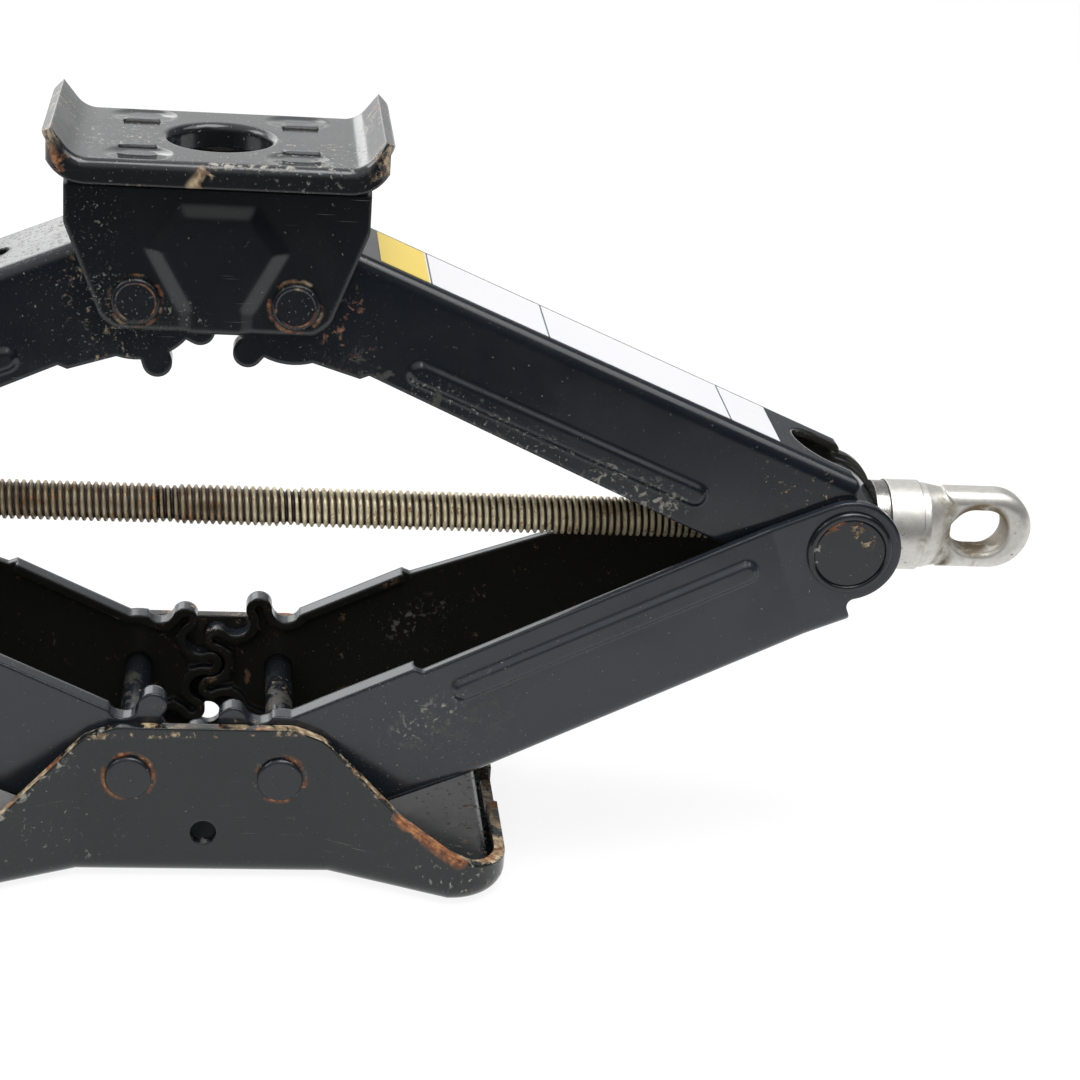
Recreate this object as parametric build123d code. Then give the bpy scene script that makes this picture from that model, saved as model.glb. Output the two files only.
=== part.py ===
from build123d import *
import os
from math import cos, radians, sin, tan

# A scissor jack stands on its base with the screw along X. The front, -Y, is the side with
# the long views of both arms, and the screw is cranked at the +X end. Z is up. The origin is
# the centre of the base's underside. Sizes are in millimetres and angles in degrees.

# Linkage: every arm has the same distance between its two pins, so the saddle rises level.
arm_length = 216.0
pin_half_spacing = 26.4
base_pin_height = 40.0
rest_angle = 22.8
closed_angle = 5.0

# Sheet thicknesses, and the side play between sheets that nest in each other.
base_sheet = 4.0
lower_sheet = 3.5
upper_sheet = 3.0
bracket_sheet = 3.5
saddle_sheet = 4.0
side_gap = 0.4
running_clearance = 0.05
seat_clearance = 0.02

# Half widths over the outside of the widest and the narrowest channel.
base_half_width = 48.0
upper_half_width = 23.0

# Arms: where a channel starts from the gear pin, where it ends before the trunnion, and how
# deep its web lies.
heel_along = 12.0
taper_start = 60.0
taper_end_gap = 24.0
web_end_gap = 7.0
lower_web_depth = 27.0
upper_web_depth = 23.8
lower_edge = 18.5
upper_edge_root = 13.0
upper_edge_tip = 18.0
lower_lip_end = 58.0
upper_lip_end = 31.0
lip_rise = 2.4
lip_root_height = 18.2
flange_width = 7.0
flange_thickness = 3.2
flange_end_angle = 241.0
lower_ear_radius = 18.8
upper_ear_radius = 17.6
bend_radius = 5.0
web_corner_radius = 3.0

# Gear ends: round lobes, eight to the full turn, on a pitch circle as large as the pin half
# spacing. The front and back walls of an arm are half a pitch apart.
lobe_pitch = 45.0
lobe_count = 3
first_lobe_a = 107.2
lower_lobe_centre = 26.6
lower_lobe_radius = 4.9
upper_lobe_centre = 24.0
upper_lobe_radius = 5.0
gear_disc_radius = 22.0
valley_shift = 0.3
valley_clearance = 0.6

# Beads pressed into the walls, and the openings in the webs.
bead_height = 1.6
bead_width = 9.5
bead_slope = 50.0
press_overlap = 0.2
lower_bead_across = 6.5
lower_bead_start = 66.0
lower_bead_end_gap = 32.0
upper_bead_across = 5.0
upper_bead_start = 44.0
upper_bead_end_gap = 55.0
cutout_gap = 31.0
cutout_half_width = 13.0
web_slot_along = 48.0
web_slot_length = 22.0
web_slot_width = 9.0

# Riveted pins.
pin_radius = 5.0
pin_head_radius = 8.0
pin_head_height = 1.8
pin_head_chamfer = 0.6
open_pivot_clearance = 0.3

# Trunnions: barrel between the upper arm's walls, round ends through both arms.
journal_radius = 13.0
barrel_radius = 16.5
thrust_flat = 12.5
journal_end = 1.2
journal_recess = 0.5
ring_radius = 15.3
ring_gap = 0.2
ring_chamfer = 0.6

# Screw and its end pieces, placed along X from the thrust trunnion's axis.
screw_radius = 7.0
thrust_bore_radius = 7.3
nut_bore_radius = 7.06
fixed_race_end = 17.5
fixed_race_radius = 16.0
ball_radius = 2.3
ball_count = 9
ball_circle_radius = 11.8
ball_play = 0.12
cage_thickness = 1.6
cage_half_width = 3.2
pocket_clearance = 0.1
rotating_race_thickness = 4.0
rotating_race_radius = 15.2
cup_radius = 16.5
cup_gap = 0.3
cup_wall = 1.2
cup_end = 30.0
collar_end = 32.5
collar_radius = 15.6
neck_end = 42.0
neck_corner = 5.4
neck_inset = 1.0
eye_plate_start = 39.0
eye_hole_centre = 53.2
eye_hole_half_length = 10.5
eye_hole_radius = 8.4
eye_half_height = 15.0
eye_end = 73.4
eye_thickness = 13.0
eye_rounding = 4.6
eye_hole_rounding = 1.8
socket_depth = 40.0
stop_length = 8.0
stop_radius = 10.0
stop_gap = 0.5
screw_tip = 1.5
crimp_places = (198.0, 241.0)
crimp_length = 7.0
crimp_depth = 0.5

# Base: channel with walls that flare out to the feet.
base_half_length = 108.0
foot_half_width = 66.0
flare_start = 44.0
foot_length = 22.0
foot_corner_radius = 20.0
base_bend_radius = 7.0
wall_top = 59.2
wall_top_half_length = 31.0
wall_shoulder = (41.0, 55.2)
wall_knee_gap = 38.0
wall_knee_height = 29.5
wall_toe_gap = 12.0
wall_toe_height = 15.0
wall_bend_radius = 10.0
end_flange_height = 12.5
end_notch_half_width = 13.0
end_notch_rounding = 4.0
base_hole_radius = 4.65
base_hole_drop = 22.0

# Bracket under the saddle, heights above the top pins.
bracket_half_length = 50.0
bracket_side_foot = 26.0
bracket_taper_half = 38.0
bracket_taper_foot = -6.0
bracket_bottom = -10.0
bracket_corner = 5.0
bracket_shoulder_inset = 7.0
bracket_opening_radius = 20.8
panel_height = 2.2
panel_slope = 65.0
panel_top = (13.0, 34.5)
panel_wide = (24.5, 18.5)
panel_narrow = (13.0, -3.0)

# Saddle, heights above the top pins.
saddle_height = 49.5
saddle_half_depth = 35.5
saddle_flat_half = 42.0
saddle_flare_radius = 9.0
saddle_flare_angle = 52.0
saddle_flare_length = 7.3
saddle_edge_drop = 8.0
saddle_edge_rounding = 3.4
saddle_corner_radius = 9.0
saddle_rim_rounding = 7.0
saddle_hole_radius = 17.0
saddle_collar_drop = 8.5
saddle_collar_wall = 3.0
saddle_hole_rounding = 2.6
tab_along = 26.7
tab_across = 16.6
tab_length = 12.0
tab_slot_clearance = 0.15
tab_rise = 0.8

# Sizes that follow from the ones above.
first_lobe_b = first_lobe_a - lobe_pitch / 2
base_inner_half = base_half_width - base_sheet
lower_root_half = base_inner_half - side_gap
lower_tip_inner_half = upper_half_width + side_gap
lower_tip_half = lower_tip_inner_half + lower_sheet
upper_inner_half = upper_half_width - upper_sheet
bracket_inner_half = upper_half_width + side_gap
bracket_half_width = bracket_inner_half + bracket_sheet
barrel_half_length = upper_inner_half - side_gap
journal_half_length = lower_tip_half + journal_end
web_end_along = arm_length - web_end_gap
taper_end = arm_length - taper_end_gap
cutout_start = arm_length - cutout_gap
flare_end = base_half_length - foot_length
trunnion_across = pin_half_spacing + arm_length * cos(radians(rest_angle))
trunnion_height = base_pin_height + arm_length * sin(radians(rest_angle))
top_pin_height = base_pin_height + 2 * arm_length * sin(radians(rest_angle))
closed_span = 2 * (pin_half_spacing + arm_length * cos(radians(closed_angle)))
stop_inner = closed_span + barrel_radius + stop_gap
screw_length = stop_inner + stop_length + screw_tip
ball_centre = fixed_race_end + ball_play + ball_radius
rotating_race_start = ball_centre + ball_radius + ball_play
rotating_race_end = rotating_race_start + rotating_race_thickness
clear_of_all = 400.0


def along_y(outline, low, high):
    """Sheet piece whose outline is drawn in the XZ plane, between two places along Y."""
    return extrude(Plane.XZ.offset(-high) * outline, high - low, dir=(0, -1, 0))


def along_x(outline, low, high):
    """Bar whose section is drawn in the YZ plane, between two places along X."""
    return extrude(Plane.YZ.offset(low) * outline, high - low, dir=(1, 0, 0))


def cylinder_y(radius, low, high):
    """Round piece along Y through the XZ origin."""
    return along_y(Circle(radius), low, high)


def symmetric(right):
    """Outline given by the points of its right half, from the bottom up."""
    return Polygon(*right, *[(-across, up) for across, up in reversed(right)])


def both_sides(solid):
    """The piece and its mirror image in the XZ plane."""
    return solid + mirror(solid, Plane.XZ)


# Gear ends and walls of the arms, drawn with X along the arm from its gear pin and Y towards
# the inside of the linkage. An inset draws the same outline a flange's thickness further in.
def lobe(arm, inset):
    centre = arm["lobe_centre"]
    neck = Pos(centre / 2, 0) * Rectangle(centre, 2 * (arm["lobe_radius"] - inset))
    return neck + Pos(centre, 0) * Circle(arm["lobe_radius"] - inset)


def gear_end(first_lobe, arm, inset):
    outline = Circle(gear_disc_radius - inset)
    for index in range(lobe_count):
        outline += Rot(0, 0, first_lobe + index * lobe_pitch) * lobe(arm, inset)
    return outline


def gear_valleys(first_lobe, arm, inset):
    """Room for the facing arm's lobes, whose centres pass at the rest of the pin spacing."""
    centre = 2 * pin_half_spacing - arm["lobe_centre"] - valley_shift
    valley = Pos(centre, 0) * Circle(arm["lobe_radius"] + valley_clearance + inset)
    return [Rot(0, 0, first_lobe + (index - 0.5) * lobe_pitch) * valley for index in range(lobe_count + 1)]


def wall_outline(first_lobe, arm, inset=0.0):
    """Side view of one wall: gear end, lip, straight edge, web edge and trunnion ear."""
    lip_top = arm["edge_root"] + lip_rise
    strip = Polygon(
        (0, -gear_disc_radius + inset),
        (heel_along, -arm["web_depth"] + inset),
        (web_end_along, -arm["web_depth"] + inset),
        (web_end_along, 0),
        (arm_length, 0),
        (arm_length, arm["ear_radius"] - inset),
        (taper_end, arm["edge_tip"] - inset),
        (arm["lip_end"] + lip_rise, arm["edge_root"] - inset),
        (arm["lip_end"], lip_top - inset),
        (0, lip_root_height - inset),
    )
    outline = strip + Pos(arm_length, 0) * Circle(arm["ear_radius"] - inset)
    web_corners = [v for v in outline.vertices() if abs(v.X - web_end_along) < 0.01 and v.Y < 0]
    outline = fillet(web_corners, web_corner_radius) + gear_end(first_lobe, arm, inset)
    for valley in gear_valleys(first_lobe, arm, inset):
        outline -= valley
    return outline


def flange_zone(arm):
    """Where the wall's edge is folded inwards: round the lobes and along the lip."""
    reach = lower_lobe_centre + 2 * lower_lobe_radius
    return Polygon(
        (0, 0),
        (arm["lip_end"], 0),
        (arm["lip_end"], reach),
        (-reach, reach),
        (-reach, -reach),
        (-reach / tan(radians(flange_end_angle)), -reach),
    )


def plan_outline(root_half, tip_half, inset):
    """Plan of an arm: parallel at the gear end, tapering, parallel again at the ears."""
    reach = lower_lobe_centre + 2 * lower_lobe_radius
    end = arm_length + 2 * lower_ear_radius
    root = root_half - inset
    tip = tip_half - inset
    return Polygon(
        (-reach, -root),
        (taper_start, -root),
        (taper_end, -tip),
        (end, -tip),
        (end, tip),
        (taper_end, tip),
        (taper_start, root),
        (-reach, root),
    )


def channel(arm):
    """U channel of full height along the whole arm, before its walls are cut to shape."""
    floor = -arm["web_depth"]
    height = arm["web_depth"] + lower_lobe_centre + 2 * lower_lobe_radius
    outer = extrude(Pos(0, 0, floor) * plan_outline(arm["root_half"], arm["tip_half"], 0), height)
    inner = extrude(
        Pos(0, 0, floor + arm["sheet"]) * plan_outline(arm["root_half"], arm["tip_half"], arm["sheet"]), height
    )
    outer = fillet(long_bottom_edges(outer, floor), bend_radius)
    inner = fillet(long_bottom_edges(inner, floor + arm["sheet"]), bend_radius - arm["sheet"])
    return outer - inner


def long_bottom_edges(solid, height):
    """Edges at one height that run along the piece rather than across it."""
    edges = solid.edges().filter_by_position(Axis.Z, height - 0.01, height + 0.01)
    return [edge for edge in edges if abs((edge % 0.5).X) > 0.5]


def wall_bead(arm):
    """Long bead pressed outwards in the back wall, following its taper."""
    run = taper_end - taper_start
    drop = arm["root_half"] - arm["tip_half"]
    slope = drop / run
    length = arm["bead_end"] - arm["bead_start"]
    middle = (arm["bead_start"] + arm["bead_end"]) / 2
    outside = arm["root_half"] - slope * (middle - taper_start)
    face = Plane(
        origin=(middle, outside, arm["bead_across"]),
        x_dir=(1, -slope, 0),
        z_dir=(slope, 1, 0),
    )
    shape = SlotOverall(length, bead_width)
    return extrude(face.offset(-press_overlap) * shape, bead_height + press_overlap, taper=bead_slope)


def arm_solid(arm):
    """One pressed arm with its gear pin at the origin and its trunnion on +X."""
    walls = channel(arm)
    front = along_y(wall_outline(arm["front_lobe"], arm), -clear_of_all, 0)
    back = along_y(wall_outline(arm["back_lobe"], arm), 0, clear_of_all)
    solid = walls & (front + back)
    zone = flange_zone(arm)
    root = arm["root_half"]
    for first_lobe, side in ((arm["front_lobe"], -1), (arm["back_lobe"], 1)):
        band = (wall_outline(first_lobe, arm) - wall_outline(first_lobe, arm, flange_thickness)) & zone
        low, high = sorted((side * root, side * (root - flange_width)))
        solid += along_y(band, low, high)
    solid += both_sides(wall_bead(arm))
    solid -= cylinder_y(pin_radius + arm["pin_clearance"], -clear_of_all, clear_of_all)
    solid -= Pos(arm_length, 0, 0) * cylinder_y(journal_radius + running_clearance, -clear_of_all, clear_of_all)
    return solid - web_cutout(arm) - web_slot(arm)


def web_cutout(arm):
    """U-shaped cut-out that lets the thrust rings pass as the arm folds."""
    length = arm_length + lower_ear_radius - cutout_start
    shape = Rectangle(length, 2 * cutout_half_width, align=(Align.MIN, Align.CENTER))
    shape = Pos(cutout_start + cutout_half_width, 0) * (shape + Circle(cutout_half_width))
    return extrude(Pos(0, 0, -2 * arm["web_depth"]) * shape, 1.5 * arm["web_depth"])


def web_slot(arm):
    """Oblong hole through the web near the gear end."""
    shape = Pos(web_slot_along, 0) * SlotOverall(web_slot_length, web_slot_width)
    return extrude(Pos(0, 0, -2 * arm["web_depth"]) * shape, 1.5 * arm["web_depth"])


lower_arm = {
    "web_depth": lower_web_depth,
    "sheet": lower_sheet,
    "root_half": lower_root_half,
    "tip_half": lower_tip_half,
    "edge_root": lower_edge,
    "edge_tip": lower_edge,
    "lip_end": lower_lip_end,
    "ear_radius": lower_ear_radius,
    "lobe_centre": lower_lobe_centre,
    "lobe_radius": lower_lobe_radius,
    "front_lobe": first_lobe_a,
    "back_lobe": first_lobe_b,
    "bead_across": lower_bead_across,
    "bead_start": lower_bead_start,
    "bead_end": arm_length - lower_bead_end_gap,
    "pin_clearance": running_clearance,
}
upper_arm = {
    "web_depth": upper_web_depth,
    "sheet": upper_sheet,
    "root_half": upper_half_width,
    "tip_half": upper_half_width,
    "edge_root": upper_edge_root,
    "edge_tip": upper_edge_tip,
    "lip_end": upper_lip_end,
    "ear_radius": upper_ear_radius,
    "lobe_centre": upper_lobe_centre,
    "lobe_radius": upper_lobe_radius,
    "front_lobe": first_lobe_b,
    "back_lobe": first_lobe_a,
    "bead_across": upper_bead_across,
    "bead_start": upper_bead_start,
    "bead_end": arm_length - upper_bead_end_gap,
    "pin_clearance": open_pivot_clearance,
}


def place_lower_right(solid):
    return Pos(pin_half_spacing, 0, base_pin_height) * Rot(0, -rest_angle, 0) * solid


def place_upper_right(solid):
    """The upper arm is turned over, so that its channel opens downwards."""
    return Pos(pin_half_spacing, 0, top_pin_height) * Rot(0, rest_angle, 0) * Rot(180, 0, 0) * solid


def turned_round(solid):
    """The left-hand copy of an arm is the same part turned about the vertical."""
    return Rot(0, 0, 180) * solid


# Pins
def riveted_pin(half_width):
    """Plain shank with a flat chamfered head at each end, outside the sheets."""
    shank = cylinder_y(pin_radius, -half_width, half_width)
    head = cylinder_y(pin_head_radius, half_width, half_width + pin_head_height)
    head = chamfer(head.edges().group_by(Axis.Y)[-1], pin_head_chamfer)
    return shank + both_sides(head)


# Trunnions and their rings, round the Y axis
def trunnion_body(bore_radius):
    solid = cylinder_y(barrel_radius, -barrel_half_length, barrel_half_length)
    solid += cylinder_y(journal_radius, -journal_half_length, journal_half_length)
    return solid - along_x(Circle(bore_radius), -clear_of_all, clear_of_all)


def thrust_trunnion():
    """Its face towards the cranked end is machined flat for the thrust bearing."""
    solid = trunnion_body(thrust_bore_radius)
    beyond = Pos(thrust_flat, 0, 0) * Box(
        barrel_radius, 2 * barrel_half_length, 2 * barrel_radius, align=(Align.MIN, Align.CENTER, Align.CENTER)
    )
    return solid - beyond


def trunnion_rings():
    """Raised rings staked round the journals outside the lower arm's ears."""
    inner = lower_tip_half + ring_gap
    outer = journal_half_length + journal_recess
    ring = cylinder_y(ring_radius, inner, outer)
    ring = chamfer(ring.edges().group_by(Axis.Y)[-1], ring_chamfer)
    ring -= cylinder_y(journal_radius + seat_clearance, inner, outer)
    return both_sides(ring)


# Screw and thrust bearing, along X from the thrust trunnion's axis
def lead_screw():
    """Plain bar at the thread's outside diameter with two crimped places that stop the nut."""
    rod = along_x(Circle(screw_radius), -screw_length, socket_depth)
    for place in crimp_places:
        flats = Box(crimp_length, 2 * screw_radius, crimp_depth, align=(Align.CENTER, Align.CENTER, Align.MAX))
        for turn in (0, 90, 180, 270):
            rod -= Pos(-place, 0, 0) * Rot(turn, 0, 0) * Pos(0, 0, screw_radius) * flats
    return rod


def fixed_race():
    race = along_x(Circle(fixed_race_radius) - Circle(thrust_bore_radius), thrust_flat, fixed_race_end)
    return race


def rotating_race():
    section = Circle(rotating_race_radius) - Circle(screw_radius + seat_clearance)
    return along_x(section, rotating_race_start, rotating_race_end)


def ball_places():
    for index in range(ball_count):
        yield Rot(index * 360 / ball_count, 0, 0) * Pos(ball_centre, 0, ball_circle_radius)


def ball_cage():
    """Flat ring with a round pocket for every ball."""
    section = Circle(ball_circle_radius + cage_half_width) - Circle(ball_circle_radius - cage_half_width)
    cage = along_x(section, ball_centre - cage_thickness / 2, ball_centre + cage_thickness / 2)
    for place in ball_places():
        cage -= place * Rot(0, 90, 0) * Cylinder(ball_radius + pocket_clearance, 2 * cage_thickness)
    return cage


def bearing_balls():
    return Compound(children=[place * Sphere(ball_radius) for place in ball_places()])


def bearing_cup():
    """Pressed cup round the bearing, closed against the eye's flange."""
    inner = rotating_race_radius + seat_clearance
    cup = along_x(Circle(cup_radius), fixed_race_end + cup_gap, cup_end)
    cup -= along_x(Circle(inner), 0, rotating_race_end)
    return cup - along_x(Circle(screw_radius + seat_clearance), 0, clear_of_all)


def eye_neck():
    """Collar behind the cup, drawn down from round to the eye's flat section."""
    collar = along_x(Circle(collar_radius), cup_end, collar_end)
    flat = RectangleRounded(eye_thickness, 2 * (eye_half_height - neck_inset), neck_corner)
    return collar + loft([Plane.YZ.offset(collar_end) * Circle(collar_radius), Plane.YZ.offset(neck_end) * flat])


def screw_eye():
    """Forged eye: round collar and neck, then a flattened end with an oblong hole."""
    round_centre = eye_end - eye_half_height
    plate = Pos((eye_plate_start + round_centre) / 2, 0) * Rectangle(
        round_centre - eye_plate_start, 2 * eye_half_height
    )
    plate += Pos(round_centre, 0) * Circle(eye_half_height)
    blade = along_y(plate, -eye_thickness / 2, eye_thickness / 2)
    blade = fillet(rim_edges(blade, eye_thickness / 2), eye_rounding)
    hole = Pos(eye_hole_centre, 0) * SlotOverall(2 * eye_hole_half_length, 2 * eye_hole_radius)
    blade -= along_y(hole, -eye_thickness, eye_thickness)
    near_hole = [
        edge
        for edge in rim_edges(blade, eye_thickness / 2)
        if abs((edge @ 0.5).Z) < eye_hole_radius + 0.01
        and abs((edge @ 0.5).X - eye_hole_centre) < eye_hole_half_length + 0.01
    ]
    blade = fillet(near_hole, eye_hole_rounding)
    eye = eye_neck() + blade
    return eye - along_x(Circle(screw_radius + seat_clearance), 0, socket_depth)


def rim_edges(solid, across):
    """Edges of the two flat faces of a piece that is symmetric across Y."""
    edges = solid.edges()
    low = edges.filter_by_position(Axis.Y, -across - 0.01, -across + 0.01)
    high = edges.filter_by_position(Axis.Y, across - 0.01, across + 0.01)
    return low + high


def screw_end_stop():
    """Collar crimped on the screw's free end, which stops the nut with the jack shut."""
    collar = along_x(Circle(stop_radius), -stop_inner - stop_length, -stop_inner)
    collar = chamfer(collar.edges().filter_by(GeomType.CIRCLE), 1.0)
    return collar - along_x(Circle(screw_radius + seat_clearance), -clear_of_all * 2, 0)


# Base
def base_plan(inset):
    """Plan of the base: parallel in the middle and flared to rounded feet."""
    middle = base_half_width - inset
    foot = foot_half_width - inset
    end = base_half_length - inset
    corner = foot_corner_radius - inset
    quarter = Polygon((0, 0), (end, 0), (end, foot), (flare_end, foot), (flare_start, middle), (0, middle))
    outer_corner = [v for v in quarter.vertices() if abs(v.X - end) < 0.01 and abs(v.Y - foot) < 0.01]
    quarter = fillet(outer_corner, corner)
    half = quarter + mirror(quarter, Plane.YZ)
    return half + mirror(half, Plane.XZ)


def base_side_view():
    """Height of the walls along the base, high between the pins and low at the feet."""
    outline = symmetric(
        (
            (base_half_length, 0),
            (base_half_length, end_flange_height),
            (base_half_length - wall_toe_gap, wall_toe_height),
            (base_half_length - wall_knee_gap, wall_knee_height),
            wall_shoulder,
            (wall_top_half_length, wall_top),
        )
    )
    knees = [v for v in outline.vertices() if v.Y > end_flange_height + 1]
    return fillet(knees, wall_bend_radius)


def base_plate():
    height = wall_top + base_sheet
    outer = extrude(base_plan(0), height)
    outer = fillet(outer.edges().filter_by_position(Axis.Z, -0.01, 0.01), base_bend_radius)
    inner = extrude(Pos(0, 0, base_sheet) * base_plan(base_sheet), height)
    floor_edges = inner.edges().filter_by_position(Axis.Z, base_sheet - 0.01, base_sheet + 0.01)
    inner = fillet(floor_edges, base_bend_radius - base_sheet)
    solid = (outer - inner) & along_y(base_side_view(), -clear_of_all, clear_of_all)
    notch = Pos(0, 0, base_bend_radius) * Box(
        clear_of_all, 2 * end_notch_half_width, clear_of_all, align=(Align.CENTER, Align.CENTER, Align.MIN)
    )
    solid -= notch & end_zones()
    for side in (-1, 1):
        solid -= Pos(side * pin_half_spacing, 0, base_pin_height) * cylinder_y(
            pin_radius + seat_clearance, -clear_of_all, clear_of_all
        )
    hole = Pos(0, 0, base_pin_height - base_hole_drop)
    return solid - hole * cylinder_y(base_hole_radius, -clear_of_all, clear_of_all)


def end_zones():
    """The two ends of the base, where the flange is notched."""
    end = Pos(base_half_length, 0, 0) * Box(4 * base_sheet, clear_of_all, clear_of_all)
    return end + mirror(end, Plane.YZ)


# Bracket, with the top pins' height as Z zero until it is placed
def bracket_section(inset, bottom):
    """Section across the bracket: plates that lean in to a flat top."""
    side = bracket_half_width - inset
    mitre = inset * tan(radians(22.5))
    shoulder = bracket_half_width - bracket_shoulder_inset - mitre
    top = saddle_height - saddle_sheet - inset
    return symmetric(((side, bottom), (side, top - bracket_shoulder_inset + inset - mitre), (shoulder, top)))


def bracket_front_view():
    outline = symmetric(
        (
            (bracket_taper_half - bracket_corner, bracket_bottom),
            (bracket_taper_half, bracket_taper_foot),
            (bracket_half_length, bracket_side_foot),
            (bracket_half_length, saddle_height),
        )
    )
    low = [v for v in outline.vertices() if v.Y < bracket_side_foot + 1]
    return fillet(low, bracket_corner)


def bracket_panel(half_width):
    """Shield-shaped panels pressed outwards in both plates between the pins."""
    below = bracket_bottom - bracket_sheet * tan(radians(panel_slope))
    outline = symmetric(((panel_narrow[0], below), panel_narrow, panel_wide, panel_top))
    face = Plane.XZ.offset(half_width - press_overlap)
    return both_sides(extrude(face * outline, panel_height + press_overlap, taper=panel_slope))


def tab_centres():
    return [(x, y) for x in (-tab_along, tab_along) for y in (-tab_across, tab_across)]


def top_bracket():
    outer = along_x(bracket_section(0, bracket_bottom - 1), -bracket_half_length, bracket_half_length)
    inner = along_x(bracket_section(bracket_sheet, bracket_bottom - 2), -clear_of_all, clear_of_all)
    solid = outer + bracket_panel(bracket_half_width) - inner - bracket_panel(bracket_inner_half)
    solid &= along_y(bracket_front_view(), -clear_of_all, clear_of_all)
    solid -= Pos(0, 0, saddle_height) * Cylinder(bracket_opening_radius, saddle_height / 2)
    for x, y in tab_centres():
        tab = Box(tab_length, bracket_sheet, saddle_sheet + tab_rise, align=(Align.CENTER, Align.CENTER, Align.MIN))
        solid += Pos(x, y, saddle_height - saddle_sheet) * tab
    for side in (-1, 1):
        solid -= Pos(side * pin_half_spacing, 0, 0) * cylinder_y(
            pin_radius + seat_clearance, -clear_of_all, clear_of_all
        )
    return solid


# Saddle, with the top pins' height as Z zero until it is placed
def saddle_line(drop):
    """Right half of a line that lies flat and then bends up, a given depth below the top."""
    level = saddle_height - drop
    bend = CenterArc(
        (saddle_flat_half, saddle_height + saddle_flare_radius),
        saddle_flare_radius + drop,
        -90,
        saddle_flare_angle,
    )
    rise = radians(saddle_flare_angle)
    tip = bend @ 1 + Vector(cos(rise), sin(rise)) * saddle_flare_length
    return Line((0, level), (saddle_flat_half, level)) + bend + Line(bend @ 1, tip)


def saddle_view(thickness):
    """Front view of a sheet that lies flat and turns up at both ends."""
    top = saddle_line(0)
    bottom = saddle_line(thickness)
    ends = Line(top @ 0, bottom @ 0) + Line(top @ 1, bottom @ 1)
    half = make_face(top + bottom + ends)
    return half + mirror(half, Plane.YZ)


def saddle():
    solid = along_y(saddle_view(saddle_sheet), -saddle_half_depth, saddle_half_depth)
    view = saddle_view(saddle_edge_drop)
    rim_end = saddle_line(saddle_edge_drop) @ 1
    tips = [v for v in view.vertices() if abs(abs(v.X) - rim_end.X) < 0.01 and abs(v.Y - rim_end.Y) < 0.01]
    view = fillet(tips, saddle_rim_rounding)
    rim = along_y(view, saddle_half_depth - saddle_sheet, saddle_half_depth)
    solid += both_sides(rim)
    solid = fillet(saddle_long_edges(solid), saddle_edge_rounding)
    tip = saddle_line(saddle_sheet) @ 1
    plan = RectangleRounded(2 * tip.X, 2 * saddle_half_depth, saddle_corner_radius)
    solid &= extrude(plan, clear_of_all)
    solid += Pos(0, 0, saddle_height - saddle_collar_drop) * Cylinder(
        saddle_hole_radius + saddle_collar_wall,
        saddle_collar_drop - saddle_hole_rounding,
        align=(Align.CENTER, Align.CENTER, Align.MIN),
    )
    solid -= Pos(0, 0, saddle_height) * Cylinder(saddle_hole_radius, clear_of_all)
    level = saddle_height
    mouth = solid.edges().filter_by(GeomType.CIRCLE).filter_by_position(Axis.Z, level - 0.01, level + 0.01)
    solid = fillet(mouth, saddle_hole_rounding)
    for x, y in tab_centres():
        slot = Box(tab_length + 2 * tab_slot_clearance, bracket_sheet + 2 * tab_slot_clearance, clear_of_all)
        solid -= Pos(x, y, saddle_height) * slot
    return solid


def saddle_long_edges(solid):
    """Upper edges along the saddle's long sides, the turned-up ends included."""
    half = Plane.XZ * saddle_line(0)
    line = half + mirror(half, Plane.YZ)
    rails = [Pos(0, side * saddle_half_depth, 0) * line for side in (-1, 1)]
    return [edge for edge in solid.edges() if min(rail.distance_to(edge @ 0.5) for rail in rails) < 0.01]


os.makedirs("parts", exist_ok=True)

at_thrust = Pos(trunnion_across, 0, trunnion_height)
at_nut = Pos(-trunnion_across, 0, trunnion_height)
at_top = Pos(0, 0, top_pin_height)
lower_right = place_lower_right(arm_solid(lower_arm))
upper_right = place_upper_right(arm_solid(upper_arm))
base_pin = riveted_pin(base_half_width)
top_pin = riveted_pin(bracket_half_width)

nodes = {
    "base_plate": base_plate(),
    "base_pin_right": Pos(pin_half_spacing, 0, base_pin_height) * base_pin,
    "base_pin_left": Pos(-pin_half_spacing, 0, base_pin_height) * base_pin,
    "lower_arm_right": lower_right,
    "lower_arm_left": turned_round(lower_right),
    "upper_arm_right": upper_right,
    "upper_arm_left": turned_round(upper_right),
    "thrust_trunnion": at_thrust * thrust_trunnion(),
    "thrust_trunnion_rings": at_thrust * trunnion_rings(),
    "nut_trunnion": at_nut * trunnion_body(nut_bore_radius),
    "nut_trunnion_rings": at_nut * trunnion_rings(),
    "fixed_race": at_thrust * fixed_race(),
    "ball_cage": at_thrust * ball_cage(),
    "bearing_balls": at_thrust * bearing_balls(),
    "rotating_race": at_thrust * rotating_race(),
    "bearing_cup": at_thrust * bearing_cup(),
    "lead_screw": at_thrust * lead_screw(),
    "screw_eye": at_thrust * screw_eye(),
    "screw_end_stop": at_thrust * screw_end_stop(),
    "top_bracket": at_top * top_bracket(),
    "top_pin_right": at_top * Pos(pin_half_spacing, 0, 0) * top_pin,
    "top_pin_left": at_top * Pos(-pin_half_spacing, 0, 0) * top_pin,
    "saddle": at_top * saddle(),
}

for name, solid in nodes.items():
    export_step(solid, f"parts/{name}.step")
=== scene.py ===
import bpy
from math import cos, pi, radians, sin
from mathutils import Matrix, Vector


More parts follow.
